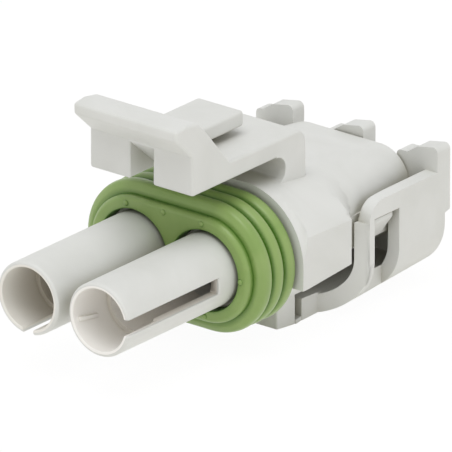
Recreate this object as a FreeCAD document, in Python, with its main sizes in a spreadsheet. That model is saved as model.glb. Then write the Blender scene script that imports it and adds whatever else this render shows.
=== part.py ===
import FreeCAD, Part
import Sketcher
import os

# A sealed two-way connector half: a moulded housing with two contact towers,
# a flexing latch arm, a rear locking cover on a film hinge, and a ribbed
# perimeter seal.
# Every piece is drawn with x across the towers, y behind the tower tips and
# z above the plane of the two tower axes. A last placement stands it on its
# underside with the origin in the middle of its footprint.

document = FreeCAD.newDocument("connector")
sizes = document.addObject("Spreadsheet::Sheet", "sizes")

SIZES = {
    # whole part
    "tower_pitch": 8.4,
    "cut_past": 1.0,
    # towers
    "tower_radius": 3.6,
    "tip_bevel": 0.2,
    "mouth_radius": 3.05,
    "mouth_depth": 5.0,
    "barrel_radius": 2.6,
    "barrel_end": 19.0,
    "throat_radius": 2.2,
    "wire_bore_radius": 2.75,
    "wire_bore_start": 32.0,
    "side_slot_width": 1.6,
    "side_slot_length": 13.3,
    "lower_slot_width": 1.2,
    "lower_slot_length": 12.0,
    # seal and its seat
    "seal_start": 15.5,
    "seal_bore_radius": 3.95,
    "seat_start": 16.8,
    "seal_boss_radius": 5.2,
    "seal_boss_bevel": 0.3,
    "first_valley": 16.3,
    "rib_pitch": 1.72,
    "rib_root_radius": 5.75,
    "rib_crest_radius": 6.45,
    "rib_flank": 0.3,
    "rib_flank_rise": 0.55,
    # body behind the seal
    "body_start": 21.6,
    "body_end": 41.9,
    "shoulder_radius": 6.9,
    "rear_top": 4.46,
    "rear_corner": 3.4,
    "skirt_depth": 2.3,
    "keel_depth": 4.2,
    "seal_back_radius": 5.6,
    # side flanks and the tails that carry the catches
    "flank_start": 22.3,
    "flank_end": 28.8,
    "flank_ridge": 2.85,
    "flank_ridge_fall": 0.25,
    "flank_low_end": 1.85,
    "flank_lip": 0.6,
    "waist_corner": 4.7,
    "blend_end": 31.5,
    "tail_proud": 0.05,
    "tail_past_window": 0.6,
    "tail_top": 1.5,
    "tail_floor": 1.6,
    # catches in the cover windows
    "catch_gap": 0.4,
    "catch_length": 2.7,
    "catch_drop": 0.2,
    "catch_lip": 0.45,
    "catch_height": 2.6,
    "catch_recess": 0.35,
    # hinge foot below the body
    "foot_start": 23.6,
    "foot_length": 2.8,
    "foot_reach": 6.4,
    "foot_overlap": 0.5,
    "foot_front_depth": 8.0,
    "foot_depth": 8.3,
    "web_length": 0.9,
    "web_thickness": 0.45,
    # latch arm and its root
    "arm_reach": 6.1,
    "arm_front": 9.1,
    "bar_foot": 15.1,
    "bar_crown": 16.35,
    "bar_nose_drop": 0.2,
    "bar_crown_start": 10.6,
    "bar_crown_fall": 0.3,
    "bar_top_end": 12.4,
    "ramp_top": 15.4,
    "ramp_top_end": 13.1,
    "ramp_end": 17.0,
    "arm_top": 10.8,
    "arm_top_rise": 0.1,
    "arm_thickness": 1.8,
    "leg_front": 11.5,
    "leg_top": 12.9,
    "leg_gap": 2.75,
    "leg_gap_depth": 15.9,
    "leg_gap_roof": 12.75,
    "root_front": 23.9,
    "root_back": 28.3,
    "root_round": 1.4,
    "arch_radius": 1.4,
    "root_base": 4.6,
    # thumb tab behind the bar
    "tab_reach": 2.7,
    "tab_end": 23.3,
    "tab_top": 13.15,
    "tab_under": 11.6,
    # rear cover
    "cover_gap": 0.4,
    "cover_wall": 1.45,
    "cover_top": 3.05,
    "cover_drop": 0.15,
    "cover_rise": 0.85,
    "cover_bed_wall": 1.0,
    "cover_corner": 5.1,
    "strap_length": 2.3,
    "cover_sweep": 2.3,
    "cover_front_round": 2.0,
    "cover_bar_face": 0.5,
    "strap_taper": 0.1,
    "back_gap": 0.2,
    "back_thickness": 1.9,
    "back_step_depth": 0.75,
    "back_step": 1.3,
    "window_bar": 0.8,
    "window_length": 3.7,
    "window_top": 1.3,
    "window_inset": 2.15,
    "strap_height": 2.2,
    "finger_shoulder": 4.3,
    "finger_shoulder_round": 0.5,
    "finger_hump": 5.45,
    "finger_hump_round": 0.55,
    "finger_hump_length": 2.4,
    "finger_hump_fall": 0.35,
    "finger_slope_end": 3.6,
    "wire_mouth_right": 1.76,
    "wire_mouth_left": 2.2,
    "wire_hole_radius": 3.4,
    "wire_hole_height": 0.4,
}

for row, (alias, value) in enumerate(SIZES.items(), start=1):
    sizes.set(f"A{row}", alias.replace("_", " "))
    sizes.set(f"B{row}", str(value))
    sizes.setAlias(f"B{row}", alias)
document.recompute()


# sizes that follow from the others
FOLLOWS = {
    "tail_reach": "tower_pitch / 2 + waist_corner + tail_proud",
    "foot_end": "foot_start + foot_length",
    "web_end": "foot_end + web_length",
    "arm_under": "arm_top - arm_thickness",
    "cover_reach": "tail_reach + cover_gap + cover_wall",
    "cover_floor": "foot_depth - cover_drop",
    "cover_rear_floor": "cover_floor - cover_rise",
    "cover_bed": "cover_rear_floor - cover_bed_wall",
    "cover_start": "web_end + strap_length",
    "cover_side_start": "cover_start + cover_sweep",
    "window_start": "cover_side_start + window_bar",
    "window_end": "window_start + window_length",
    "window_floor": "cover_reach - window_inset",
    "tail_end": "window_end + tail_past_window",
    "catch_start": "window_start + catch_gap",
    "catch_end": "catch_start + catch_length",
    "catch_top": "window_top - catch_drop",
    "catch_reach": "cover_reach - catch_recess",
    "back_inside": "body_end + back_gap",
    "overall_length": "back_inside + back_thickness",
    "back_low": "overall_length - back_step_depth",
    "strap_top": "foot_depth - strap_height",
}


def cell(text):
    """Writes an expression with bare size names as one that reads the sheet."""
    words = []
    for word in text.replace("(", " ( ").replace(")", " ) ").split():
        if word in FOLLOWS:
            words.append("( " + cell(FOLLOWS[word]) + " )")
        elif word in SIZES:
            words.append("sizes." + word)
        else:
            words.append(word)
    return " ".join(words)


def number(text):
    """The present value of such an expression."""
    return float(sizes.evalExpression(cell(text)))


def new_body(name):
    """One moulded piece, stood on the ground with the origin under its middle."""
    body = document.addObject("PartDesign::Body", name)
    body.Label = name
    body.setExpression("Placement.Base.y", cell("- overall_length / 2"))
    body.setExpression("Placement.Base.z", cell("foot_depth"))
    return body


def plane(body, role):
    """A body's own origin plane."""
    return [part for part in body.Origin.OriginFeatures if part.Role == role][0]


def new_sketch(body, name, role, lift):
    """An empty sketch on an origin plane, lifted along that plane's normal."""
    sketch = body.newObject("Sketcher::SketchObject", name)
    sketch.AttachmentSupport = [(plane(body, role), "")]
    sketch.MapMode = "FlatFace"
    sketch.setExpression("AttachmentOffset.Base.z", cell(lift))
    return sketch


def bind(sketch, kind, where, text):
    """Adds one dimension and ties it to the sheet."""
    index = sketch.addConstraint(Sketcher.Constraint(kind, *where, number(text)))
    sketch.setExpression(f"Constraints[{index}]", cell(text))


def outline(sketch, corners):
    """Draws a closed outline: each corner is (x, y) or (x, y, radius, turn).

    The last two make the edge to the next corner an arc, turning left for
    +1 and right for -1. A half circle must span level ends.
    """
    places = [FreeCAD.Vector(number(corner[0]), number(corner[1]), 0) for corner in corners]
    ends = []
    half_turns = []
    for index, corner in enumerate(corners):
        start = places[index]
        finish = places[(index + 1) % len(corners)]
        if len(corner) == 2:
            edge = sketch.addGeometry(Part.LineSegment(start, finish))
            ends.append((edge, 1, 2))
            continue
        radius = number(corner[2])
        turn = corner[3]
        chord = finish - start
        rise = max(radius ** 2 - (chord.Length / 2) ** 2, 0) ** 0.5
        side = FreeCAD.Vector(-chord.y, chord.x, 0).normalize() * rise * turn
        centre = (start + finish) / 2 + side
        spoke = (start + finish) / 2 - centre
        if spoke.Length < 1e-6:
            spoke = FreeCAD.Vector(chord.y, -chord.x, 0) * turn
        middle = centre + spoke.normalize() * radius
        edge = sketch.addGeometry(Part.Arc(start, middle, finish))
        ends.append((edge, 1, 2) if turn > 0 else (edge, 2, 1))
        if rise < 1e-4:
            half_turns.append(edge)
    for index, corner in enumerate(corners):
        edge, begin, end = ends[index]
        following, after, unused = ends[(index + 1) % len(ends)]
        sketch.addConstraint(Sketcher.Constraint("Coincident", edge, end, following, after))
    for index, corner in enumerate(corners):
        edge, begin, end = ends[index]
        bind(sketch, "DistanceX", (edge, begin), corner[0])
        bind(sketch, "DistanceY", (edge, begin), corner[1])
        if len(corner) > 2 and edge in half_turns:
            bind(sketch, "DistanceY", (edge, 3), corner[1])
        elif len(corner) > 2:
            bind(sketch, "Radius", (edge,), corner[2])


def ring(sketch, x, y, radius):
    """Draws one circle."""
    centre = FreeCAD.Vector(number(x), number(y), 0)
    edge = sketch.addGeometry(Part.Circle(centre, FreeCAD.Vector(0, 0, 1), number(radius)))
    bind(sketch, "DistanceX", (edge, 3), x)
    bind(sketch, "DistanceY", (edge, 3), y)
    bind(sketch, "Radius", (edge,), radius)


def volume(body):
    """Volume of the piece as built so far."""
    document.recompute()
    return body.Shape.Volume if body.Tip else 0.0


def settle(body, feature, before, grows):
    """Makes a feature the tip and checks that it changed the piece the right way."""
    body.Tip = feature
    after = volume(body)
    if grows and after <= before:
        raise RuntimeError(f"{feature.Name} adds nothing")
    if not grows and after >= before:
        raise RuntimeError(f"{feature.Name} cuts nothing")
    return feature


def extrude_back(body, name, corners, start, length, cut=False):
    """Extrudes an outline seen from the front, from y = start towards the rear."""
    before = volume(body)
    sketch = new_sketch(body, name + "_sketch", "XZ_Plane", f"- ( {start} )")
    outline(sketch, corners)
    feature = body.newObject("PartDesign::Pocket" if cut else "PartDesign::Pad", name)
    feature.Profile = sketch
    feature.setExpression("Length", cell(length))
    feature.Reversed = not cut
    return settle(body, feature, before, not cut)


def extrude_wide(body, name, corners, width, cut=False):
    """Extrudes an outline seen from the side, evenly to both sides of x = 0."""
    before = volume(body)
    sketch = new_sketch(body, name + "_sketch", "YZ_Plane", "0")
    outline(sketch, corners)
    feature = body.newObject("PartDesign::Pocket" if cut else "PartDesign::Pad", name)
    feature.Profile = sketch
    feature.setExpression("Length", cell(width))
    feature.SideType = "Symmetric"
    return settle(body, feature, before, not cut)


def mirror(body, name, features, role="YZ_Plane", grows=True):
    """Repeats features on the other side of an origin plane."""
    before = volume(body)
    feature = body.newObject("PartDesign::Mirrored", name)
    feature.Originals = features
    feature.MirrorPlane = (plane(body, role), [""])
    return settle(body, feature, before, grows)


def turn(body, name, corners, x, cut=False):
    """Revolves a half outline about the tower axis at x."""
    before = volume(body)
    sketch = new_sketch(body, name + "_sketch", "YZ_Plane", x)
    outline(sketch, corners)
    feature = body.newObject("PartDesign::Groove" if cut else "PartDesign::Revolution", name)
    feature.Profile = sketch
    feature.ReferenceAxis = (sketch, ["H_Axis"])
    feature.Angle = 360
    return settle(body, feature, before, not cut)


HALF_PITCH = "tower_pitch / 2"


def build_seal():
    """The ribbed perimeter seal: a flattened ring around both towers."""
    body = new_body("perimeter_seal")
    profile = [
        ("seal_start", "0"),
        ("seal_start", "seal_boss_radius - seal_boss_bevel"),
        ("seal_start + seal_boss_bevel", "seal_boss_radius"),
        ("first_valley", "seal_boss_radius"),
    ]
    half = "( rib_pitch / 2 - rib_flank )"
    rise = "( rib_crest_radius - rib_root_radius - rib_flank_rise )"
    arch = f"( {half} ^ 2 + {rise} ^ 2 ) / ( 2 * {rise} )"
    for count in range(3):
        valley = f"first_valley + {count} * rib_pitch"
        flank_top = "rib_root_radius + rib_flank_rise"
        profile.append((valley, "rib_root_radius"))
        profile.append((valley + " + rib_flank", flank_top, arch, -1))
        profile.append((valley + " + rib_pitch - rib_flank", flank_top))
    profile.append(("first_valley + 3 * rib_pitch", "rib_root_radius"))
    profile.append(("body_start", "rib_root_radius"))
    profile.append(("body_start", "0"))
    lobe = turn(body, "lobe", profile, HALF_PITCH)
    before = volume(body)
    bridge = body.newObject("PartDesign::Pad", "bridge")
    bridge.Profile = lobe.Profile[0]
    bridge.setExpression("Length", cell("tower_pitch"))
    bridge.Reversed = True
    settle(body, bridge, before, True)
    mirror(body, "lower_bridge", [bridge], "XY_Plane")
    mirror(body, "other_lobe", [lobe])
    before = volume(body)
    sketch = new_sketch(body, "bore_sketch", "XZ_Plane", "- seal_start")
    ring(sketch, HALF_PITCH, "0", "seal_bore_radius")
    ring(sketch, "- " + HALF_PITCH, "0", "seal_bore_radius")
    bores = body.newObject("PartDesign::Pocket", "tower_bores")
    bores.Profile = sketch
    bores.Type = "ThroughAll"
    settle(body, bores, before, False)
    return body


def crown(where):
    """Height of the shell's falling top edge at a distance behind the tips."""
    fall = "( shoulder_radius - rear_top ) / ( body_end - body_start )"
    return f"( shoulder_radius - ( {where} - body_start ) * {fall} )"


def shoulder(reach, low, ridge, where):
    """Section of the shell: side walls up to a ridge and arcs up to the flat top."""
    span = f"( {reach} - {HALF_PITCH} )"
    rise = f"( {crown(where)} - ( {ridge} ) )"
    arc = f"( {span} ^ 2 + {rise} ^ 2 ) / ( 2 * {rise} )"
    return [
        (f"- ( {reach} )", low),
        (reach, low),
        (reach, ridge, arc, 1),
        (HALF_PITCH, crown(where)),
        ("- " + HALF_PITCH, crown(where), arc, 1),
        (f"- ( {reach} )", ridge),
    ]


def build_housing():
    """Towers, body shell, keel, flanks, hinge foot and latch root in one moulding."""
    body = new_body("housing")

    # upper shell: round flange, ridged shoulders, then a narrower taper to the rear
    wide = f"{HALF_PITCH} + shoulder_radius"
    waist = f"{HALF_PITCH} + waist_corner"
    stations = [
        ("flange", "body_start", wide, "- skirt_depth", "0"),
        ("ridge", "flank_start", wide, "- skirt_depth", "flank_ridge"),
        ("shoulder", "flank_end", wide, "- flank_low_end", "flank_ridge - flank_ridge_fall"),
        ("waist", "blend_end", waist, "- tail_floor", crown("blend_end") + " - waist_corner"),
        ("rear", "body_end", f"{HALF_PITCH} + rear_corner", "- tail_floor", "rear_top - rear_corner"),
    ]
    drawn = []
    for name, where, reach, low, ridge in stations:
        sketch = new_sketch(body, name + "_station", "XZ_Plane", "- " + where)
        outline(sketch, shoulder(reach, low, ridge, where))
        drawn.append(sketch)
    shell = body.newObject("PartDesign::AdditiveLoft", "shell")
    shell.Profile = drawn[0]
    shell.Sections = drawn[1:]
    shell.Ruled = True
    settle(body, shell, 0, True)

    # the side walls stop at the flank's end
    relief = extrude_back(body, "relief", [
        ("tail_reach", "- skirt_depth - cut_past"),
        (wide + " + cut_past", "- skirt_depth - cut_past"),
        (wide + " + cut_past", "flank_ridge - flank_ridge_fall - flank_lip"),
        ("tail_reach", "flank_ridge - flank_ridge_fall - flank_lip"),
    ], "flank_end", "blend_end - flank_end + cut_past", cut=True)
    mirror(body, "other_relief", [relief], grows=False)

    # rounded keel under the cavities
    keel_side = f"{HALF_PITCH} + rear_corner"
    extrude_back(body, "keel", [
        (f"- ( {keel_side} )", "0"),
        (f"- ( {keel_side} )", "rear_corner - keel_depth", "rear_corner", 1),
        ("- " + HALF_PITCH, "- keel_depth"),
        (HALF_PITCH, "- keel_depth", "rear_corner", 1),
        (keel_side, "rear_corner - keel_depth"),
        (keel_side, "0"),
    ], "body_start", "body_end - body_start")

    # plate that backs the lower half of the seal
    extrude_back(body, "seal_back", [
        ("- " + HALF_PITCH, "- seal_back_radius"),
        (HALF_PITCH, "- seal_back_radius", "seal_back_radius", 1),
        (f"{HALF_PITCH} + seal_back_radius", "0"),
        (f"- ( {HALF_PITCH} + seal_back_radius )", "0", "seal_back_radius", 1),
    ], "body_start", "foot_end - body_start")

    # tails behind the flanks, inside the cover
    tail = extrude_back(body, "tail", [
        (HALF_PITCH, "- tail_floor"),
        ("tail_reach", "- tail_floor"),
        ("tail_reach", "tail_top"),
        (HALF_PITCH, "tail_top"),
    ], "flank_end", "tail_end - flank_end")
    mirror(body, "other_tail", [tail])

    # foot that carries the film hinge
    extrude_wide(body, "foot", [
        ("foot_start", "- foot_front_depth"),
        ("foot_end", "- foot_depth"),
        ("foot_end", "foot_overlap - keel_depth"),
        ("foot_start", "foot_overlap - keel_depth"),
    ], "2 * foot_reach")

    # latch root with the rounded arch under it
    extrude_wide(body, "root", [
        ("root_front", "arm_top"),
        ("root_front", "arm_under", "arch_radius", -1),
        ("root_front + arch_radius", "arm_under - arch_radius", "arch_radius", -1),
        ("root_front", "arm_under - 2 * arch_radius"),
        ("root_front", "root_base"),
        ("root_back", "root_base"),
        ("root_back", "arm_top - root_round", "root_round", 1),
        ("root_back - root_round", "arm_top"),
    ], "2 * arm_reach")

    # towers with a thicker seat under the seal
    tower = turn(body, "tower", [
        ("0", "0"),
        ("0", "tower_radius - tip_bevel"),
        ("tip_bevel", "tower_radius"),
        ("seat_start", "tower_radius"),
        ("seat_start", "seal_bore_radius"),
        ("body_start + cut_past", "seal_bore_radius"),
        ("body_start + cut_past", "0"),
    ], HALF_PITCH)
    mirror(body, "other_tower", [tower])

    # stepped cavity through each tower to the rear
    cavity = turn(body, "cavity", [
        ("- cut_past", "0"),
        ("- cut_past", "mouth_radius"),
        ("mouth_depth", "mouth_radius"),
        ("mouth_depth", "barrel_radius"),
        ("barrel_end", "barrel_radius"),
        ("barrel_end", "throat_radius"),
        ("wire_bore_start", "throat_radius"),
        ("wire_bore_start", "wire_bore_radius"),
        ("body_end + cut_past", "wire_bore_radius"),
        ("body_end + cut_past", "0"),
    ], HALF_PITCH, cut=True)
    mirror(body, "other_cavity", [cavity], grows=False)

    # slot in the outer side of the right tower
    before = volume(body)
    sketch = new_sketch(body, "side_slot_sketch", "YZ_Plane", HALF_PITCH)
    outline(sketch, [
        ("- cut_past", "- side_slot_width / 2"),
        ("side_slot_length", "- side_slot_width / 2"),
        ("side_slot_length", "side_slot_width / 2"),
        ("- cut_past", "side_slot_width / 2"),
    ])
    slot = body.newObject("PartDesign::Pocket", "side_slot")
    slot.Profile = sketch
    slot.setExpression("Length", cell("tower_radius + cut_past"))
    slot.Reversed = True
    settle(body, slot, before, False)

    # slot under the left tower
    before = volume(body)
    sketch = new_sketch(body, "lower_slot_sketch", "XY_Plane", "0")
    outline(sketch, [
        (f"- {HALF_PITCH} - lower_slot_width / 2", "- cut_past"),
        (f"- {HALF_PITCH} + lower_slot_width / 2", "- cut_past"),
        (f"- {HALF_PITCH} + lower_slot_width / 2", "lower_slot_length"),
        (f"- {HALF_PITCH} - lower_slot_width / 2", "lower_slot_length"),
    ])
    slot = body.newObject("PartDesign::Pocket", "lower_slot")
    slot.Profile = sketch
    slot.setExpression("Length", cell("tower_radius + cut_past"))
    settle(body, slot, before, False)
    return body


def build_arm():
    """The flexing latch arm: plate, two legs, cross bar and thumb tab."""
    body = new_body("latch_arm")
    extrude_wide(body, "plate", [
        ("arm_front", "bar_foot"),
        ("leg_front", "leg_top"),
        ("leg_front", "arm_under"),
        ("root_front", "arm_under"),
        ("root_front", "arm_top"),
        ("ramp_end", "arm_top + arm_top_rise"),
        ("ramp_top_end", "ramp_top"),
        ("bar_top_end", "bar_crown - bar_crown_fall"),
        ("bar_crown_start", "bar_crown"),
        ("arm_front", "bar_crown - bar_nose_drop"),
    ], "2 * arm_reach")
    extrude_wide(body, "tab", [
        ("bar_top_end", "tab_under"),
        ("tab_end", "tab_under"),
        ("tab_end", "tab_top"),
        ("bar_top_end", "tab_top"),
    ], "2 * tab_reach")
    extrude_wide(body, "leg_gap_cut", [
        ("leg_front - cut_past", "arm_under - cut_past"),
        ("leg_gap_depth", "arm_under - cut_past"),
        ("leg_gap_depth", "arm_under"),
        ("leg_front", "leg_gap_roof"),
        ("leg_front - cut_past", "leg_gap_roof"),
    ], "leg_gap", cut=True)
    return body


def finger(right, left):
    """Top of one finger of the back wall, from its right side to its left.

    The finger has a rounded hump on its right and a low shoulder on its left.
    """
    return [
        (right, "finger_hump - finger_hump_round", "finger_hump_round", 1),
        (f"{right} - finger_hump_round", "finger_hump"),
        (f"{right} - finger_hump_length", "finger_hump - finger_hump_fall"),
        (f"{right} - finger_slope_end", "finger_shoulder"),
        (f"{left} + finger_shoulder_round", "finger_shoulder", "finger_shoulder_round", 1),
        (left, "finger_shoulder - finger_shoulder_round"),
    ]


def wire_slot(centre):
    """One round wire hole with a narrower mouth at the top, from right to left."""
    def edge(side):
        return f"wire_hole_height + ( wire_hole_radius ^ 2 - {side} ^ 2 ) ^ 0.5"
    return [
        (f"{centre} + wire_mouth_right", edge("wire_mouth_right"), "wire_hole_radius", -1),
        (centre, "wire_hole_height - wire_hole_radius", "wire_hole_radius", -1),
        (f"{centre} - wire_mouth_left", edge("wire_mouth_left")),
    ]


def cradle(reach, corner, floor, top):
    """Section with level floor and rounded lower corners, closed at the top."""
    bend = f"( {reach} - ( {corner} ) )"
    return [
        (f"- ( {reach} )", top),
        (f"- ( {reach} )", f"{corner} - {floor}", corner, 1),
        (f"- {bend}", f"- {floor}"),
        (bend, f"- {floor}", corner, 1),
        (reach, f"{corner} - {floor}"),
        (reach, top),
    ]


def build_cover():
    """The rear locking cover: trough, back wall with wire slots, side windows."""
    body = new_body("rear_cover")
    ends = []
    for name, where, floor in [("front", "cover_start", "cover_floor"), ("rear", "back_low", "cover_rear_floor")]:
        sketch = new_sketch(body, "trough_" + name, "XZ_Plane", f"- ( {where} )")
        outline(sketch, cradle("cover_reach", "cover_corner", floor, "cover_top"))
        ends.append(sketch)
    trough = body.newObject("PartDesign::AdditiveLoft", "trough")
    trough.Profile = ends[0]
    trough.Sections = ends[1:]
    trough.Ruled = True
    settle(body, trough, 0, True)
    extrude_back(body, "bed", cradle("cover_reach - cover_wall", "cover_corner - cover_wall",
                                     "cover_bed", "cover_top + cut_past"),
                 "cover_start - cut_past", "back_low - cover_start + 2 * cut_past", cut=True)

    # back wall with its three fingers and two wire slots
    back = cradle("cover_reach", "cover_corner", "cover_rear_floor", "cover_top")[1:5]
    back += finger("cover_reach", "tower_pitch / 2 + wire_mouth_right")
    back += wire_slot("tower_pitch / 2")
    back += finger("tower_pitch / 2 - wire_mouth_left", "- tower_pitch / 2 + wire_mouth_right")
    back += wire_slot("- tower_pitch / 2")
    back += finger("- tower_pitch / 2 - wire_mouth_left", "- cover_reach")
    extrude_back(body, "back_wall", back, "back_inside", "overall_length - back_inside")

    # the back wall steps in below the wire slots
    extrude_back(body, "back_step_cut", [
        ("- cover_reach - cut_past", "- cover_floor - cut_past"),
        ("cover_reach + cut_past", "- cover_floor - cut_past"),
        ("cover_reach + cut_past", "- back_step"),
        ("- cover_reach - cut_past", "- back_step"),
    ], "back_low", "overall_length - back_low + cut_past", cut=True)

    # the front edge sweeps back from the strap to the side plates
    before = volume(body)
    sketch = new_sketch(body, "front_sweep_sketch", "XY_Plane", "finger_hump + cut_past")
    outline(sketch, [
        ("foot_reach", "cover_start - cut_past"),
        ("cover_reach + cut_past", "cover_start - cut_past"),
        ("cover_reach + cut_past", "cover_side_start"),
        ("cover_reach - cover_bar_face", "cover_side_start"),
        ("foot_reach", "cover_start"),
    ])
    sweep = body.newObject("PartDesign::Pocket", "front_sweep")
    sweep.Profile = sketch
    sweep.setExpression("Length", cell("finger_hump + cover_floor + 2 * cut_past"))
    settle(body, sweep, before, False)
    mirror(body, "other_sweep", [sweep], grows=False)

    # rounded upper front corner of each side plate
    extrude_wide(body, "plate_corner", [
        ("cover_side_start - cut_past", "cover_top - cover_front_round"),
        ("cover_side_start", "cover_top - cover_front_round", "cover_front_round", -1),
        ("cover_side_start + cover_front_round", "cover_top"),
        ("cover_side_start + cover_front_round", "cover_top + cut_past"),
        ("cover_side_start - cut_past", "cover_top + cut_past"),
    ], "2 * cover_reach + cut_past", cut=True)

    # strap to the film hinge
    extrude_wide(body, "strap", [
        ("web_end", "strap_taper - foot_depth"),
        ("cover_start", "- cover_floor"),
        ("cover_start + cover_wall", "- cover_bed"),
        ("cover_start", "- strap_top"),
        ("web_end", "strap_taper - strap_top"),
    ], "2 * foot_reach")

    # window for the catch on each side, open to below
    window = extrude_back(body, "window", [
        ("window_floor", "- cover_floor - cut_past"),
        ("cover_reach + cut_past", "- cover_floor - cut_past"),
        ("cover_reach + cut_past", "window_top"),
        ("window_floor", "window_top"),
    ], "window_start", "window_end - window_start", cut=True)
    mirror(body, "other_window", [window], grows=False)
    return body


def build_catch(name, side):
    """Ramped catch on a tail of the housing, seen in the cover's window."""
    body = new_body(name)
    corners = [
        ("tail_reach", "catch_top"),
        ("tail_reach", "catch_top - catch_height"),
        ("catch_reach", "catch_top - catch_lip"),
        ("catch_reach", "catch_top"),
    ]
    if side < 0:
        corners = [("- " + across, height) for across, height in corners]
    extrude_back(body, "ramp", corners, "catch_start", "catch_end - catch_start")
    return body


def build_web():
    """The film hinge between the housing's foot and the cover's strap."""
    body = new_body("hinge_web")
    extrude_wide(body, "film", [
        ("foot_end", "- foot_depth"),
        ("web_end", "strap_taper - foot_depth"),
        ("web_end", "strap_taper - foot_depth + web_thickness"),
        ("foot_end", "- foot_depth + web_thickness"),
    ], "2 * foot_reach")
    return body


pieces = [
    build_housing(),
    build_seal(),
    build_arm(),
    build_cover(),
    build_catch("catch_right", 1),
    build_catch("catch_left", -1),
    build_web(),
]
document.recompute()

for item in document.Objects:
    if "Invalid" in item.State or "Error" in item.State:
        raise RuntimeError(f"{item.Name} failed: {item.State}")
for piece in pieces:
    if piece.Shape.isNull() or not piece.Shape.isValid():
        raise RuntimeError(f"{piece.Label} has no valid shape")

os.makedirs("parts", exist_ok=True)
for piece in pieces:
    piece.Shape.exportStep(os.path.join("parts", piece.Label + ".step"))
    box = piece.Shape.BoundBox
    print(f"{piece.Label}: {piece.Shape.Volume:.1f} mm3, {len(piece.Shape.Solids)} solid,",
          f"x {box.XMin:.2f}..{box.XMax:.2f} y {box.YMin:.2f}..{box.YMax:.2f}",
          f"z {box.ZMin:.2f}..{box.ZMax:.2f}")
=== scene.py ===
"""Looks for a sealed two-way connector half, laid out as an add-on.

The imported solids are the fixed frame. Each piece is a merged copy of its solid
with rounded edges, in moulded plastic or silicone rubber. A key rib in one
tower and small nubs on the seal are added to them.
"""

import math

import bmesh
import bpy
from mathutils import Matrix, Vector
from mathutils.geometry import intersect_point_line


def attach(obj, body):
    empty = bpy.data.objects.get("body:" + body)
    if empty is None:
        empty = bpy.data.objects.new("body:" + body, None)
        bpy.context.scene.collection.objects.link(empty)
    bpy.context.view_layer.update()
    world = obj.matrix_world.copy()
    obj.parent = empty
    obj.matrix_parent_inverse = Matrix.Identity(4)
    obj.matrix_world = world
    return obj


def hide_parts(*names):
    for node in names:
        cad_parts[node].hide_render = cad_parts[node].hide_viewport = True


bl_info = {
    "name": "Sealed Connector Half",
    "version": (1, 0, 0),
    "blender": (4, 5, 0),
    "location": "View3D > Sidebar > Connector",
    "description": "Dresses the connector's housing, seal, latch arm and rear cover",
    "category": "Object",
}

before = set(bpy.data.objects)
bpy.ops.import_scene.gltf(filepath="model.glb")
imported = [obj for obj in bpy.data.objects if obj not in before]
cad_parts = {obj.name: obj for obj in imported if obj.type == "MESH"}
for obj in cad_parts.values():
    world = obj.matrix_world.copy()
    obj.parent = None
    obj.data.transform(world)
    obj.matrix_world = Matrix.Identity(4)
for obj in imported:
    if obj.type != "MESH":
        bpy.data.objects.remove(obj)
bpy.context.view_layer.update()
MM = 0.001

# heights in the frame
AXIS_HEIGHT = 8.3 * MM  # tower axes
STRAP_TOP = 2.4 * MM  # just above the cover's strap
HOLE_FOOT = AXIS_HEIGHT - 3.5 * MM  # just below the wire holes
BAR_TOP = 9.35 * MM  # top of the bars beside the cover's windows
FINGER_FOOT = 11.7 * MM  # below the tops of the wire fingers
ROOT_FOOT = 15.0 * MM  # where the latch root stands clear of the shell
ARM_UNDER = 17.3 * MM  # underside of the latch arm
GAP_ROOF = 20.9 * MM  # just below the roof between the arm's legs
BAR_FOOT = 21.15 * MM  # just above that roof

# distances along the frame, from the tower tips to the wires
TOWER_END = -22.0 * MM  # tips of the towers
SEAL_FACE = -6.5 * MM  # front face of the seal
FLANGE_FACE = -0.4 * MM  # face of the flange behind the seal
FLANK_START = 0.5 * MM  # just behind the start of the flanks
ARM_END = 1.9 * MM  # where the arm grows out of its root
FLANK_END = 6.6 * MM  # just before the end of the flanks
STRAP_END = 7.7 * MM  # just behind the end of the cover's strap
BLEND_END = 9.7 * MM  # just behind the blend from the flanks to the waist
BAR_FACE = 9.95 * MM  # just behind the front of the cover's side plates
REAR_RIM = 19.5 * MM  # just before the rear of the shell
WALL_FRONT = 20.0 * MM  # just before the cover's back wall

# distances from the middle: towers, a bore's wall from its axis, legs' inner faces
TOWER_SIDE = 4.2 * MM
BORE_RADIUS = 3.3 * MM
GAP_SIDE = 1.5 * MM

# how near two places count as one, and how near an edge is to the wall's front
TOUCH = 0.01 * MM
WALL_REACH = 0.3 * MM

# joining of the solids' triangles: weld before and after rounding, angles at which
# faces are one on flat and on curved solids, and when a face is square to the frame
WELD = 0.002 * MM
ROUNDED_WELD = 0.001 * MM
FLAT_ANGLE = math.radians(0.1)
CURVED_ANGLE = math.radians(0.01)
SQUARE = 0.99999

# rounding: share of the radius on the bluntest edges, and how straight two edges
# meet in one run, as a cosine
BLUNT_SHARE = 0.2
STRAIGHT = -0.8

# folds: faces smaller than SPECK are left out, edges nearer than NEARBY to a fold
# are made tighter by a share down to the least, in some attempts
SPECK = 3.0e-9
FOLD_ANGLE = math.radians(145.0)
NEARBY = 0.35 * MM
TIGHTER = 0.65
LEAST_SHARE = 0.3
ATTEMPTS = 10

# edge radii of the wire holes' inner rims and of the key rib
HOLE_EDGE = 0.04 * MM
KEY_EDGE = 0.05 * MM

# painted light and shade inside the bores: where it starts and ends to deepen, and its
# colours per side, lighter than the plastic near the mouth and darker and warmer deeper in,
# the right bore lighter than the left
BORE_SHALLOW = TOWER_END + 1.0 * MM
BORE_DEEP = TOWER_END + 8.0 * MM
BORE_LIGHT_AND_SHADE = (
    ("Left", (0.84, 0.82, 0.77), (0.54, 0.49, 0.41)),
    ("Right", (0.94, 0.92, 0.89), (0.86, 0.83, 0.78)),
)

# nubs on the seal's face, millimetres across and up from the middle of the axes
NUBS = (
    (-5.04, 4.42), (-0.65, 4.58), (3.85, 4.56), (8.47, -0.08), (4.21, -4.55),
    (-8.5, -0.08), (-4.21, -4.55),
)

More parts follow.
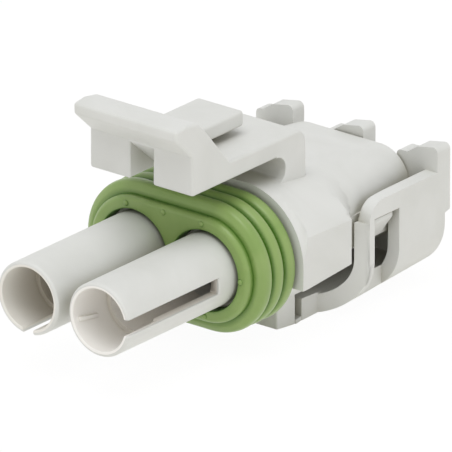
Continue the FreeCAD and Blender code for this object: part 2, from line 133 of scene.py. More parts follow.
# key rib: its wall line from front to back, its rise above the wall, its root in
# the wall, and the share of its width that its top keeps
KEY_RIB = (Vector((1.27, -21.3, 7.5)) * MM, Vector((1.4, -18.7, 7.1)) * MM)
KEY_RISE = 0.22 * MM
KEY_ROOT = 0.3 * MM
KEY_TOP = 0.8

# floor: size, depth below the part, colour, faint glow and how far it is seen through
FLOOR_SIZE = 4.0
FLOOR_DROP = 0.02 * MM
FLOOR_COLOUR = (0.88, 0.865, 0.83, 1.0)
FLOOR_GLOW_COLOUR = (1.0, 0.985, 0.95, 1.0)
FLOOR_GLOW = 0.14
FLOOR_CLEAR = 0.93

# surroundings: light on the part and the white behind it, each colour and strength
SKY = ((1.0, 1.0, 0.99, 1.0), 0.58)
BACKDROP = ((1.0, 1.0, 1.0, 1.0), 1.02)

# lamps: name, direction to the lamp, strength and apparent size in degrees
LAMPS = (
    ("key_lamp", (0.12, -0.26, 0.95), 1.2, 44.0),
    ("fill_lamp", (0.9, -0.25, 0.3), 0.18, 50.0),
)

# camera: a very long lens, its sensor, the picture's width in pixels, the scale in
# the picture, the angles around and above, and the place that it looks at
LENS = 1500.0
SENSOR = 36.0
PICTURE = 452.0
PIXELS_PER_MM = 10.79
AZIMUTH = math.radians(38.58)
ELEVATION = math.radians(22.0)
TARGET = Vector((1.57, 0.07, 10.015)) * MM


class ConnectorFinish(bpy.types.PropertyGroup):
    """Colours and surface values of the two mouldings."""

    plastic_colour: bpy.props.FloatVectorProperty(
        name="Plastic", description="Colour of the moulded housing, arm and cover",
        subtype="COLOR", size=3, min=0.0, max=1.0, default=(0.745, 0.75, 0.73))
    plastic_shade: bpy.props.FloatVectorProperty(
        name="Plastic Shade", description="Colour of the faint flow marks in the plastic",
        subtype="COLOR", size=3, min=0.0, max=1.0, default=(0.70, 0.705, 0.68))
    rubber_colour: bpy.props.FloatVectorProperty(
        name="Rubber", description="Colour of the silicone seal",
        subtype="COLOR", size=3, min=0.0, max=1.0, default=(0.275, 0.395, 0.12))
    rubber_shade: bpy.props.FloatVectorProperty(
        name="Rubber Shade", description="Colour of the seal's denser streaks",
        subtype="COLOR", size=3, min=0.0, max=1.0, default=(0.235, 0.36, 0.095))


class ConnectorSizes(bpy.types.PropertyGroup):
    """Edge radii and small details."""

    housing_edge: bpy.props.FloatProperty(
        name="Housing Edge", description="Edge radius of the towers and the shell",
        subtype="DISTANCE", unit="LENGTH", default=0.2 * MM)
    arm_edge: bpy.props.FloatProperty(
        name="Arm Edge", description="Edge radius of the latch arm and its root",
        subtype="DISTANCE", unit="LENGTH", default=0.28 * MM)
    flange_edge: bpy.props.FloatProperty(
        name="Flange Edge", description="Edge radius of the flange behind the seal",
        subtype="DISTANCE", unit="LENGTH", default=0.08 * MM)
    gap_edge: bpy.props.FloatProperty(
        name="Leg Gap Edge", description="Edge radius of the roof between the arm's legs",
        subtype="DISTANCE", unit="LENGTH", default=0.06 * MM)
    cover_edge: bpy.props.FloatProperty(
        name="Cover Edge", description="Edge radius of the rear cover's plates",
        subtype="DISTANCE", unit="LENGTH", default=0.28 * MM)
    finger_edge: bpy.props.FloatProperty(
        name="Finger Edge", description="Edge radius of the wire fingers' tops",
        subtype="DISTANCE", unit="LENGTH", default=0.4 * MM)
    catch_edge: bpy.props.FloatProperty(
        name="Catch Edge", description="Edge radius of the catches and the film hinge",
        subtype="DISTANCE", unit="LENGTH", default=0.08 * MM)
    seal_edge: bpy.props.FloatProperty(
        name="Seal Edge", description="Edge radius of the seal's ribs and lips",
        subtype="DISTANCE", unit="LENGTH", default=0.16 * MM)
    nub_radius: bpy.props.FloatProperty(
        name="Nub Radius", description="Radius of the moulding nubs on the seal's face",
        subtype="DISTANCE", unit="LENGTH", default=0.28 * MM)
    nub_height: bpy.props.FloatProperty(
        name="Nub Height", description="How far the nubs stand out of the seal's face",
        subtype="DISTANCE", unit="LENGTH", default=0.16 * MM)
    key_width: bpy.props.FloatProperty(
        name="Key Rib Width", description="Width of the key rib inside the right tower",
        subtype="DISTANCE", unit="LENGTH", default=0.45 * MM)


def start_group(name, sockets):
    """A new node group with its sockets, and its inlet and outlet nodes."""
    group = bpy.data.node_groups.new(name, "ShaderNodeTree")
    for label, way, kind in sockets:
        group.interface.new_socket(label, in_out=way, socket_type="NodeSocket" + kind)
    return group, group.nodes.new("NodeGroupInput"), group.nodes.new("NodeGroupOutput")


def mould_grain():
    """Node group: soft flow marks and fine surface grain of a moulding."""
    if "mould_grain" in bpy.data.node_groups:
        return bpy.data.node_groups["mould_grain"]
    group, inlet, outlet = start_group("mould_grain", [
        ("Vector", "INPUT", "Vector"),
        ("Flow Scale", "INPUT", "Float"),
        ("Grain Scale", "INPUT", "Float"),
        ("Roughness Low", "INPUT", "Float"),
        ("Roughness High", "INPUT", "Float"),
        ("Flow", "OUTPUT", "Float"),
        ("Roughness", "OUTPUT", "Float"),
        ("Height", "OUTPUT", "Float"),
    ])
    nodes, links = group.nodes, group.links
    flow = nodes.new("ShaderNodeTexNoise")
    flow.inputs["Detail"].default_value = 3.0
    flow.inputs["Distortion"].default_value = 0.6
    grain = nodes.new("ShaderNodeTexNoise")
    grain.inputs["Detail"].default_value = 2.0
    spread = nodes.new("ShaderNodeMapRange")
    ramp = nodes.new("ShaderNodeMapRange")
    ramp.inputs["From Min"].default_value = 0.35
    ramp.inputs["From Max"].default_value = 0.65
    links.new(inlet.outputs["Vector"], flow.inputs["Vector"])
    links.new(inlet.outputs["Vector"], grain.inputs["Vector"])
    links.new(inlet.outputs["Flow Scale"], flow.inputs["Scale"])
    links.new(inlet.outputs["Grain Scale"], grain.inputs["Scale"])
    links.new(flow.outputs["Fac"], ramp.inputs["Value"])
    links.new(grain.outputs["Fac"], spread.inputs["Value"])
    links.new(inlet.outputs["Roughness Low"], spread.inputs["To Min"])
    links.new(inlet.outputs["Roughness High"], spread.inputs["To Max"])
    links.new(ramp.outputs["Result"], outlet.inputs["Flow"])
    links.new(spread.outputs["Result"], outlet.inputs["Roughness"])
    links.new(grain.outputs["Fac"], outlet.inputs["Height"])
    return group


def painted_recess_shade():
    """Node group: painted shade, which deepens a colour where the surface lies in a recess.
    """
    if "painted_recess_shade" in bpy.data.node_groups:
        return bpy.data.node_groups["painted_recess_shade"]
    group, inlet, outlet = start_group("painted_recess_shade", [
        ("Color", "INPUT", "Color"),
        ("Tint", "INPUT", "Color"),
        ("Reach", "INPUT", "Float"),
        ("Open From", "INPUT", "Float"),
        ("Closed From", "INPUT", "Float"),
        ("Color", "OUTPUT", "Color"),
    ])
    nodes, links = group.nodes, group.links
    openness = nodes.new("ShaderNodeAmbientOcclusion")
    openness.samples = 8
    depth = nodes.new("ShaderNodeMapRange")
    deep = nodes.new("ShaderNodeMix")
    deep.data_type = "RGBA"
    deep.blend_type = "MULTIPLY"
    links.new(inlet.outputs["Reach"], openness.inputs["Distance"])
    links.new(openness.outputs["AO"], depth.inputs["Value"])
    links.new(inlet.outputs["Open From"], depth.inputs["From Min"])
    links.new(inlet.outputs["Closed From"], depth.inputs["From Max"])
    links.new(depth.outputs["Result"], deep.inputs["Factor"])
    links.new(inlet.outputs["Color"], deep.inputs["A"])
    links.new(inlet.outputs["Tint"], deep.inputs["B"])
    links.new(deep.outputs["Result"], outlet.inputs["Color"])
    return group


def bore_depth():
    """Node group: how deep inside each tower's bore a place lies, 0 outside."""
    if "bore_depth" in bpy.data.node_groups:
        return bpy.data.node_groups["bore_depth"]
    group, inlet, outlet = start_group("bore_depth", [
        ("Vector", "INPUT", "Vector"),
        ("Left", "OUTPUT", "Float"),
        ("Right", "OUTPUT", "Float"),
        ("Depth", "OUTPUT", "Float"),
    ])
    nodes, links = group.nodes, group.links
    split = nodes.new("ShaderNodeSeparateXYZ")
    links.new(inlet.outputs["Vector"], split.inputs["Vector"])
    front = nodes.new("ShaderNodeMath")
    front.operation = "LESS_THAN"
    front.inputs[1].default_value = SEAL_FACE
    links.new(split.outputs["Y"], front.inputs[0])
    for name, side in (("Left", -TOWER_SIDE), ("Right", TOWER_SIDE)):
        away = nodes.new("ShaderNodeVectorMath")
        away.operation = "SUBTRACT"
        away.inputs[1].default_value = (side, 0.0, AXIS_HEIGHT)
        flat = nodes.new("ShaderNodeVectorMath")
        flat.operation = "MULTIPLY"
        flat.inputs[1].default_value = (1.0, 0.0, 1.0)
        radius = nodes.new("ShaderNodeVectorMath")
        radius.operation = "LENGTH"
        within = nodes.new("ShaderNodeMath")
        within.operation = "LESS_THAN"
        within.inputs[1].default_value = BORE_RADIUS
        both = nodes.new("ShaderNodeMath")
        both.operation = "MULTIPLY"
        links.new(inlet.outputs["Vector"], away.inputs[0])
        links.new(away.outputs["Vector"], flat.inputs[0])
        links.new(flat.outputs["Vector"], radius.inputs[0])
        links.new(radius.outputs["Value"], within.inputs[0])
        links.new(within.outputs["Value"], both.inputs[0])
        links.new(front.outputs["Value"], both.inputs[1])
        links.new(both.outputs["Value"], outlet.inputs[name])
    depth = nodes.new("ShaderNodeMapRange")
    depth.inputs["From Min"].default_value = BORE_SHALLOW
    depth.inputs["From Max"].default_value = BORE_DEEP
    links.new(split.outputs["Y"], depth.inputs["Value"])
    links.new(depth.outputs["Result"], outlet.inputs["Depth"])
    return group


def paint_bore_light_and_shade(material, colour):
    """Paints light and shade into the two bores: lighter than the plastic near the mouths,
    warmer and deeper in colour towards the inside.
    """
    nodes, links = material.node_tree.nodes, material.node_tree.links
    where = next(node for node in nodes if node.bl_idname == "ShaderNodeTexCoord")
    place = nodes.new("ShaderNodeGroup")
    place.node_tree = bore_depth()
    links.new(where.outputs["Object"], place.inputs["Vector"])
    for side, near, deep in BORE_LIGHT_AND_SHADE:
        inner = nodes.new("ShaderNodeMix")
        inner.data_type = "RGBA"
        inner.inputs["A"].default_value = (*near, 1.0)
        inner.inputs["B"].default_value = (*deep, 1.0)
        links.new(place.outputs["Depth"], inner.inputs["Factor"])
        chosen = nodes.new("ShaderNodeMix")
        chosen.data_type = "RGBA"
        links.new(place.outputs[side], chosen.inputs["Factor"])
        links.new(colour, chosen.inputs["A"])
        links.new(inner.outputs["Result"], chosen.inputs["B"])
        colour = chosen.outputs["Result"]
    return colour


def moulded_material(name, colour, shade, values):
    """A moulded surface: two close colours, fine grain, a little unevenness and painted shade
    in recesses.
    """
    if name in bpy.data.materials:
        return bpy.data.materials[name]
    material = bpy.data.materials.new(name)
    material.use_nodes = True
    nodes, links = material.node_tree.nodes, material.node_tree.links
    surface = nodes["Principled BSDF"]
    surface.inputs["IOR"].default_value = values["ior"]
    surface.inputs["Specular IOR Level"].default_value = values["specular"]
    surface.inputs["Subsurface Weight"].default_value = values["subsurface"]
    surface.inputs["Subsurface Radius"].default_value = (1.0, 0.9, 0.75)
    surface.inputs["Subsurface Scale"].default_value = values["subsurface_depth"]
    surface.inputs["Coat Weight"].default_value = values["coat"]
    surface.inputs["Coat Roughness"].default_value = values["coat_roughness"]
    where = nodes.new("ShaderNodeTexCoord")
    group = nodes.new("ShaderNodeGroup")
    group.node_tree = mould_grain()
    group.inputs["Flow Scale"].default_value = values["flow_scale"]
    group.inputs["Grain Scale"].default_value = values["grain_scale"]
    group.inputs["Roughness Low"].default_value = values["roughness_low"]
    group.inputs["Roughness High"].default_value = values["roughness_high"]
    mix = nodes.new("ShaderNodeMix")
    mix.data_type = "RGBA"
    mix.inputs["A"].default_value = (*colour, 1.0)
    mix.inputs["B"].default_value = (*shade, 1.0)
    bump = nodes.new("ShaderNodeBump")
    bump.inputs["Strength"].default_value = values["bump"]
    bump.inputs["Distance"].default_value = values["bump_depth"]
    links.new(where.outputs["Object"], group.inputs["Vector"])
    links.new(group.outputs["Flow"], mix.inputs["Factor"])
    # painted shade: darker, warmer colour in recesses, between parts and in grooves
    recess = nodes.new("ShaderNodeGroup")
    recess.node_tree = painted_recess_shade()
    recess.inputs["Tint"].default_value = (*values["painted_recess_shade"], 1.0)
    recess.inputs["Reach"].default_value = values["recess_reach"]
    recess.inputs["Open From"].default_value = values["recess_open"]
    recess.inputs["Closed From"].default_value = values["recess_closed"]
    base = mix.outputs["Result"]
    # painted light and shade in the bores, in place of the plastic's colour
    if values["bores"]:
        base = paint_bore_light_and_shade(material, base)
    links.new(base, recess.inputs["Color"])
    links.new(recess.outputs["Color"], surface.inputs["Base Color"])
    links.new(group.outputs["Roughness"], surface.inputs["Roughness"])
    links.new(group.outputs["Height"], bump.inputs["Height"])
    links.new(bump.outputs["Normal"], surface.inputs["Normal"])
    return material


def plastic(context):
    """Light warm grey nylon with a satin moulded face."""
    finish = context.scene.connector_finish
    return moulded_material("grey_nylon", finish.plastic_colour, finish.plastic_shade, {
        "ior": 1.5, "specular": 0.45, "coat": 0.0, "coat_roughness": 0.4,
        "flow_scale": 160.0, "grain_scale": 5200.0,
        "roughness_low": 0.42, "roughness_high": 0.56,
        "bump": 0.25, "bump_depth": 0.012 * MM,
        "subsurface": 0.0, "subsurface_depth": 0.9 * MM,
        # painted shade: warm darkening in recesses and between parts
        "painted_recess_shade": (0.68, 0.66, 0.585), "recess_reach": 4.0 * MM,
        "recess_open": 0.66, "recess_closed": 0.12, "bores": True,
    })


def rubber(context):
    """Leaf green silicone with a slightly oily sheen."""
    finish = context.scene.connector_finish
    return moulded_material("green_silicone", finish.rubber_colour, finish.rubber_shade, {
        "ior": 1.43, "specular": 0.5, "coat": 0.3, "coat_roughness": 0.18,
        "flow_scale": 240.0, "grain_scale": 3600.0,
        "roughness_low": 0.36, "roughness_high": 0.5,
        "bump": 0.2, "bump_depth": 0.015 * MM,
        "subsurface": 0.1, "subsurface_depth": 0.4 * MM,
        # painted shade: darker green in the seal's grooves
        "painted_recess_shade": (0.26, 0.46, 0.12), "recess_reach": 1.1 * MM,
        "recess_open": 0.9, "recess_closed": 0.5, "bores": False,
    })


def select_only(piece):
    """Leaves one piece selected and active."""
    bpy.ops.object.select_all(action="DESELECT")
    bpy.context.view_layer.objects.active = piece
    piece.select_set(True)


def select_places(piece, wanted):
    """In edit mode, leaves selected the points whose places pass a test."""
    bpy.ops.mesh.select_all(action="DESELECT")
    bpy.ops.object.mode_set(mode="OBJECT")
    for vertex in piece.data.vertices:
        vertex.select = wanted(vertex.co)
    bpy.ops.object.mode_set(mode="EDIT")


def merged_copy(node, name, curved=False):
    """A copy of a solid's mesh with its triangles joined into whole faces.

    On a curved solid only the faces square to the frame and those of the latch
    root are joined freely, and the flowing walls keep their triangles.
    """
    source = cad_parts[node]
    mesh = source.data.copy()
    mesh.name = name
    piece = bpy.data.objects.new(name, mesh)
    bpy.context.scene.collection.objects.link(piece)
    select_only(piece)
    bpy.ops.object.mode_set(mode="EDIT")
    bpy.ops.mesh.select_all(action="SELECT")
    bpy.ops.mesh.remove_doubles(threshold=WELD)
    if curved:
        bpy.ops.mesh.dissolve_limited(angle_limit=CURVED_ANGLE)
        bpy.ops.object.mode_set(mode="OBJECT")
        for face in piece.data.polygons:
            square = max(abs(part) for part in face.normal) > SQUARE
            face.select = square or face.center.z > ROOT_FOOT
        bpy.ops.object.mode_set(mode="EDIT")
    bpy.ops.mesh.dissolve_limited(angle_limit=FLAT_ANGLE)
    bpy.ops.object.mode_set(mode="OBJECT")
    return piece


def folded_spots(mesh):
    """Ends of the edges at which a rounded surface has turned back on itself."""
    shape = bmesh.new()
    shape.from_mesh(mesh)
    bmesh.ops.triangulate(
        shape, faces=shape.faces[:], quad_method="BEAUTY", ngon_method="EAR_CLIP")
    spots = []
    for edge in shape.edges:
        if min(face.calc_area() for face in edge.link_faces) > SPECK:
            if edge.calc_face_angle() > FOLD_ANGLE:
                spots.append([vertex.co.copy() for vertex in edge.verts])
    shape.free()
    return spots


def near_spot(edge, spots):
    """Whether an edge passes close to one of the spots."""
    first, last = edge.verts[0].co, edge.verts[1].co
    for ends in spots:
        for place in (ends[0], ends[1], (ends[0] + ends[1]) * 0.5):
            reach = max(0.0, min(1.0, intersect_point_line(place, first, last)[1]))
            if (first.lerp(last, reach) - place).length < NEARBY:
                return True
    return False


def edge_runs(shape, rounded):
    """Numbers the unbroken runs that the rounded edges form, edge by edge."""
    run = list(range(len(rounded)))

    def head(index):
        while run[index] != index:
            index = run[index]
        return index

    for vertex in shape.verts:
        meeting = [edge for edge in vertex.link_edges if rounded[edge.index]]
        for place, edge in enumerate(meeting):
            away = (edge.other_vert(vertex).co - vertex.co).normalized()
            for other in meeting[place + 1:]:
                back = (other.other_vert(vertex).co - vertex.co).normalized()
                if away.dot(back) < STRAIGHT:
                    run[head(edge.index)] = head(other.index)
    return [head(index) for index in range(len(rounded))]


def bevel_by_share(piece, radii, segments):
    """Applies a bevel whose radius at each edge comes from a list."""
    largest = max(radii)
    shape = bmesh.new()
    shape.from_mesh(piece.data)
    share = shape.edges.layers.float.new("bevel_weight_edge")
    for edge, radius in zip(shape.edges, radii):
        edge[share] = radius / largest
    shape.to_mesh(piece.data)
    shape.free()
    select_only(piece)
    bevel = piece.modifiers.new("edge_radius", "BEVEL")
    bevel.width = largest
    bevel.segments = segments
    bevel.limit_method = "WEIGHT"
    bevel.use_clamp_overlap = False
    bpy.ops.object.modifier_apply(modifier=bevel.name)
    bpy.ops.object.mode_set(mode="EDIT")
    bpy.ops.mesh.select_all(action="SELECT")
    bpy.ops.mesh.remove_doubles(threshold=ROUNDED_WELD)
    bpy.ops.object.mode_set(mode="OBJECT")


def round_edges(piece, radius_at, angle=30.0, fade=15.0, segments=3):
    """Rounds the sharp edges, with smaller radii on blunt edges and in tight places."""
    plain = piece.data.copy()
    shape = bmesh.new()
    shape.from_mesh(plain)
    shape.edges.ensure_lookup_table()
    radii = []
    for edge in shape.edges:
        blunt = math.degrees(edge.calc_face_angle()) - angle
        radius = 0.0
        if edge.is_convex and blunt > 0.0:
            radius = radius_at(edge) * min(1.0, BLUNT_SHARE + blunt / fade)
        radii.append(radius)
    runs = edge_runs(shape, [radius > 0.0 for radius in radii])
    share = {run: 1.0 for run in runs}
    for attempt in range(ATTEMPTS):
        tried = [radius * share[run] for radius, run in zip(radii, runs)]
        bevel_by_share(piece, tried, segments)
        spots = folded_spots(piece.data)
        if not spots or attempt == ATTEMPTS - 1:
            break
        tight = {runs[edge.index] for edge in shape.edges
                 if radii[edge.index] > 0.0 and near_spot(edge, spots)}
        for run in tight:
            share[run] = TIGHTER * share[run] if share[run] > LEAST_SHARE else 0.0
        piece.data = plain.copy()
    shape.free()
    bpy.ops.object.shade_smooth_by_angle(angle=math.radians(angle))
    even = piece.modifiers.new("even_faces", "WEIGHTED_NORMAL")
    even.keep_sharp = True
    bpy.ops.object.modifier_apply(modifier=even.name)


def joins_arm(edge):
    """Whether an edge lies in the plane where the arm grows out of its root."""
    return all(abs(vertex.co.y - ARM_END) < TOUCH and vertex.co.z > ARM_UNDER - TOUCH
               for vertex in edge.verts)


def in_bore(edge):
    """Whether an edge lies inside the bore of one of the towers."""
    places = [vertex.co for vertex in edge.verts]
    return all(math.hypot(abs(place.x) - TOWER_SIDE, place.z - AXIS_HEIGHT) < BORE_RADIUS
               for place in places)


def span(edge, axis):
    """Least and greatest place of an edge along an axis."""
    places = [vertex.co[axis] for vertex in edge.verts]
    return min(places), max(places)


def finish_piece(piece, material, body, nodes):
    """Gives a piece its material and body, and hides the solids that it stands for."""
    piece.data.materials.clear()
    piece.data.materials.append(material)
    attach(piece, body)
    if nodes:
        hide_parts(*nodes)


class CONNECTOR_OT_housing(bpy.types.Operator):
    """Dress the housing with its towers, shoulders, hinge foot and latch root"""

    bl_idname = "connector.housing"
    bl_label = "Housing"

    def execute(self, context):
        sizes = context.scene.connector_sizes

        def radius_at(edge):
            near, far = span(edge, 1)
            if joins_arm(edge) or near > REAR_RIM:
                return 0.0
            if span(edge, 2)[0] > ROOT_FOOT:
                return sizes.arm_edge
            if far < SEAL_FACE and near > BORE_SHALLOW and in_bore(edge):
                return 0.0
            if near > FLANGE_FACE + TOUCH and far < FLANK_START:
                return 0.0
            if near > FLANK_END and far < BLEND_END:
                return 0.0
            at_flange = abs(near - FLANGE_FACE) < TOUCH
            return sizes.flange_edge if at_flange else sizes.housing_edge

        piece = merged_copy("housing", "housing_moulding", curved=True)
        round_edges(piece, radius_at)
        finish_piece(piece, plastic(context), "housing", ["housing"])
        return {"FINISHED"}


class CONNECTOR_OT_key_rib(bpy.types.Operator):
    """Add the low key rib on the inner wall of the right tower"""

    bl_idname = "connector.key_rib"
    bl_label = "Key Rib"

    def execute(self, context):
        sizes = context.scene.connector_sizes
        front, back = KEY_RIB
        bpy.ops.object.select_all(action="DESELECT")
        bpy.ops.mesh.primitive_cube_add(size=1.0, location=(0.0, 0.0, 0.0))
        piece = context.active_object
        piece.name = "tower_key_rib"

        # a short block whose top is narrower, then its two ends go to the wall line's
        half = Vector((0.0, 0.5, 0.0)) * MM
        bpy.ops.object.mode_set(mode="EDIT")
        bpy.ops.mesh.select_all(action="SELECT")
        bpy.ops.transform.resize(value=(KEY_RISE + KEY_ROOT, 2.0 * half.y, sizes.key_width))
        bpy.ops.transform.translate(value=((KEY_RISE - KEY_ROOT) / 2.0, 0.0, 0.0))
        select_places(piece, lambda place: place.x > 0.0)
        bpy.ops.transform.resize(value=(1.0, 1.0, KEY_TOP))
        select_places(piece, lambda place: place.y < 0.0)
        bpy.ops.transform.translate(value=front + half)
        select_places(piece, lambda place: place.y > 0.0)
        bpy.ops.transform.translate(value=back - half)
        bpy.ops.object.mode_set(mode="OBJECT")
        round_edges(piece, lambda edge: KEY_EDGE, segments=2)
        finish_piece(piece, plastic(context), "housing", [])
        return {"FINISHED"}


class CONNECTOR_OT_latch_arm(bpy.types.Operator):
    """Dress the flexing latch arm"""

    bl_idname = "connector.latch_arm"
    bl_label = "Latch Arm"

    def execute(self, context):
        sizes = context.scene.connector_sizes

        def radius_at(edge):
            if joins_arm(edge):
                return 0.0
            low, high = span(edge, 2)
            between_legs = max(abs(across) for across in span(edge, 0)) < GAP_SIDE
            if low > GAP_ROOF and high < BAR_FOOT and between_legs:
                return sizes.gap_edge
            return sizes.arm_edge

        piece = merged_copy("latch_arm", "latch_arm_moulding")
        round_edges(piece, radius_at, angle=12.0)
        finish_piece(piece, plastic(context), "latch_arm", ["latch_arm"])
        return {"FINISHED"}


class CONNECTOR_OT_rear_cover(bpy.types.Operator):
    """Dress the rear cover with its wire fingers"""

    bl_idname = "connector.rear_cover"
    bl_label = "Rear Cover"

    def execute(self, context):
        sizes = context.scene.connector_sizes

        def radius_at(edge):
            near, far = span(edge, 1)
            low, high = span(edge, 2)
            if far < STRAP_END and high < STRAP_TOP:
                return sizes.catch_edge
            if near > WALL_FRONT and low > FINGER_FOOT:
                return sizes.finger_edge
            if far < BAR_FACE and abs(low - BAR_TOP) < 2.0 * TOUCH:
                return 0.0
            if abs(far - WALL_FRONT) < WALL_REACH and low > HOLE_FOOT:
                return HOLE_EDGE
            return sizes.cover_edge

        piece = merged_copy("rear_cover", "rear_cover_moulding")
        round_edges(piece, radius_at)
        finish_piece(piece, plastic(context), "rear_cover", ["rear_cover"])
        return {"FINISHED"}


class CONNECTOR_OT_catches(bpy.types.Operator):
    """Dress the two catches and the film hinge"""

    bl_idname = "connector.catches"
    bl_label = "Catches and Film Hinge"

    def execute(self, context):
        sizes = context.scene.connector_sizes
        for node in ("catch_right", "catch_left", "hinge_web"):
            piece = merged_copy(node, node + "_moulding")
            round_edges(piece, lambda edge: sizes.catch_edge, segments=2)
            finish_piece(piece, plastic(context), "housing", [node])
        return {"FINISHED"}


class CONNECTOR_OT_seal(bpy.types.Operator):
    """Dress the ribbed perimeter seal"""

    bl_idname = "connector.seal"
    bl_label = "Perimeter Seal"

    def execute(self, context):
        sizes = context.scene.connector_sizes
        piece = merged_copy("perimeter_seal", "perimeter_seal_moulding")
        round_edges(piece, lambda edge: sizes.seal_edge, angle=20.0)
        finish_piece(piece, rubber(context), "housing", ["perimeter_seal"])
        return {"FINISHED"}


class CONNECTOR_OT_nubs(bpy.types.Operator):
    """Add the small moulding nubs on the seal's front face"""

    bl_idname = "connector.nubs"
    bl_label = "Seal Nubs"

    def execute(self, context):
        sizes = context.scene.connector_sizes
        for number, (across, up) in enumerate(NUBS, start=1):
            bpy.ops.object.select_all(action="DESELECT")
            bpy.ops.mesh.primitive_uv_sphere_add(
                segments=20, ring_count=10, radius=sizes.nub_radius)
            piece = context.active_object
            piece.name = f"seal_nub_{number}"
            bpy.ops.object.mode_set(mode="EDIT")
            bpy.ops.mesh.select_all(action="SELECT")
            bpy.ops.transform.resize(value=(1.0, sizes.nub_height / sizes.nub_radius, 1.0))
            bpy.ops.transform.translate(value=(across * MM, SEAL_FACE, AXIS_HEIGHT + up * MM))
            bpy.ops.object.mode_set(mode="OBJECT")
            bpy.ops.object.shade_smooth()
            finish_piece(piece, rubber(context), "housing", [])
        return {"FINISHED"}


def plain_view(nodes, links):
    """1 for rays that come straight, mirrored or through glass from the camera."""
    light_path = nodes.new("ShaderNodeLightPath")
    direct = nodes.new("ShaderNodeMath")
    direct.operation = "MAXIMUM"
    through = nodes.new("ShaderNodeMath")
    through.operation = "MAXIMUM"
    links.new(light_path.outputs["Is Camera Ray"], direct.inputs[0])
    links.new(light_path.outputs["Is Glossy Ray"], direct.inputs[1])
    links.new(direct.outputs["Value"], through.inputs[0])
    links.new(light_path.outputs["Is Transmission Ray"], through.inputs[1])
    return through.outputs["Value"]


def white_floor(context):
    """A pale floor that shows the white behind it and keeps a soft shadow.

    It is seen through, so that the opened cover stays in view below it.
    """
    bpy.ops.object.select_all(action="DESELECT")
    bpy.ops.mesh.primitive_plane_add(size=FLOOR_SIZE, location=(0.0, 0.0, -FLOOR_DROP))
    floor = context.active_object
    floor.name = "white_floor"
    paper = bpy.data.materials.new("white_paper")
    paper.use_nodes = True
    nodes, links = paper.node_tree.nodes, paper.node_tree.links
    nodes.clear()
    diffuse = nodes.new("ShaderNodeBsdfDiffuse")
    diffuse.inputs["Color"].default_value = FLOOR_COLOUR
    glow = nodes.new("ShaderNodeEmission")
    glow.inputs["Color"].default_value = FLOOR_GLOW_COLOUR
    glow.inputs["Strength"].default_value = FLOOR_GLOW
    lit = nodes.new("ShaderNodeAddShader")
    clear = nodes.new("ShaderNodeBsdfTransparent")
    share = nodes.new("ShaderNodeMath")
    share.operation = "MULTIPLY"
    share.inputs[1].default_value = FLOOR_CLEAR
    mix = nodes.new("ShaderNodeMixShader")
    out = nodes.new("ShaderNodeOutputMaterial")
    links.new(diffuse.outputs["BSDF"], lit.inputs[0])
    links.new(glow.outputs["Emission"], lit.inputs[1])
    links.new(plain_view(nodes, links), share.inputs[0])
    links.new(share.outputs["Value"], mix.inputs["Fac"])
    links.new(lit.outputs["Shader"], mix.inputs[1])
    links.new(clear.outputs["BSDF"], mix.inputs[2])
    links.new(mix.outputs["Shader"], out.inputs["Surface"])
    floor.data.materials.append(paper)


def studio_light(scene):
    """Even light from all around and two wide lamps, with plain white behind."""
    world = bpy.data.worlds.new("studio")
    scene.world = world
    world.use_nodes = True
    nodes, links = world.node_tree.nodes, world.node_tree.links
    nodes.clear()
    mix = nodes.new("ShaderNodeMixShader")
    for place, (colour, strength) in enumerate((SKY, BACKDROP), start=1):
        light = nodes.new("ShaderNodeBackground")
        light.inputs["Color"].default_value = colour
        light.inputs["Strength"].default_value = strength
        links.new(light.outputs["Background"], mix.inputs[place])
    out = nodes.new("ShaderNodeOutputWorld")
    links.new(plain_view(nodes, links), mix.inputs["Fac"])
    links.new(mix.outputs["Shader"], out.inputs["Surface"])

    for name, toward, strength, spread in LAMPS:
        data = bpy.data.lights.new(name, "SUN")
        data.energy = strength
        data.angle = math.radians(spread)
        lamp = bpy.data.objects.new(name, data)
        scene.collection.objects.link(lamp)
        lamp.rotation_mode = "QUATERNION"
        lamp.rotation_quaternion = Vector(toward).to_track_quat("Z", "Y")


def photo_camera(scene):
    """A camera far away with a long lens, so that depth hardly shrinks anything."""
    back = Vector((math.sin(AZIMUTH) * math.cos(ELEVATION),
                   -math.cos(AZIMUTH) * math.cos(ELEVATION), math.sin(ELEVATION)))
    distance = LENS / SENSOR * PICTURE / PIXELS_PER_MM * MM
    data = bpy.data.cameras.new("photo_camera")
    data.lens = LENS
    data.sensor_width = SENSOR
    data.clip_start = distance * 0.5
    data.clip_end = distance * 6.0
    camera = bpy.data.objects.new("photo_camera", data)
    scene.collection.objects.link(camera)
    camera.location = TARGET + back * distance
    camera.rotation_mode = "QUATERNION"
    camera.rotation_quaternion = (-back).to_track_quat("-Z", "Y")
    scene.camera = camera


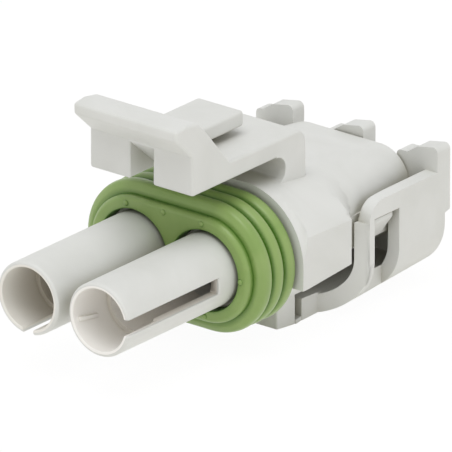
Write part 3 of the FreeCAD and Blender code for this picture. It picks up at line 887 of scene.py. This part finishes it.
class CONNECTOR_OT_stage(bpy.types.Operator):
    """Set the white floor, the soft light and the camera"""

    bl_idname = "connector.stage"
    bl_label = "Stage"

    def execute(self, context):
        white_floor(context)
        studio_light(context.scene)
        photo_camera(context.scene)
        context.scene.view_settings.view_transform = "Standard"
        return {"FINISHED"}


class CONNECTOR_PT_panel(bpy.types.Panel):
    """Buttons that build the connector's looks"""

    bl_idname = "CONNECTOR_PT_panel"
    bl_label = "Sealed Connector"
    bl_space_type = "VIEW_3D"
    bl_region_type = "UI"
    bl_category = "Connector"

    def draw(self, context):
        layout = self.layout
        for settings in (context.scene.connector_finish, context.scene.connector_sizes):
            box = layout.box()
            for name in settings.bl_rna.properties.keys():
                if name not in ("rna_type", "name"):
                    box.prop(settings, name)
        for step in STEPS:
            layout.operator(step.bl_idname)


STEPS = (
    CONNECTOR_OT_housing,
    CONNECTOR_OT_key_rib,
    CONNECTOR_OT_latch_arm,
    CONNECTOR_OT_rear_cover,
    CONNECTOR_OT_catches,
    CONNECTOR_OT_seal,
    CONNECTOR_OT_nubs,
    CONNECTOR_OT_stage,
)
CLASSES = (ConnectorFinish, ConnectorSizes, *STEPS, CONNECTOR_PT_panel)


def register():
    """Adds the add-on's classes and settings."""
    for item in CLASSES:
        bpy.utils.register_class(item)
    bpy.types.Scene.connector_finish = bpy.props.PointerProperty(type=ConnectorFinish)
    bpy.types.Scene.connector_sizes = bpy.props.PointerProperty(type=ConnectorSizes)


def unregister():
    """Removes the add-on's classes and settings."""
    del bpy.types.Scene.connector_sizes
    del bpy.types.Scene.connector_finish
    for item in reversed(CLASSES):
        bpy.utils.unregister_class(item)


def main():
    """Builds everything in order."""
    register()
    bpy.ops.connector.housing()
    bpy.ops.connector.key_rib()
    bpy.ops.connector.latch_arm()
    bpy.ops.connector.rear_cover()
    bpy.ops.connector.catches()
    bpy.ops.connector.seal()
    bpy.ops.connector.nubs()
    bpy.ops.connector.stage()


if __name__ == "__main__":
    main()
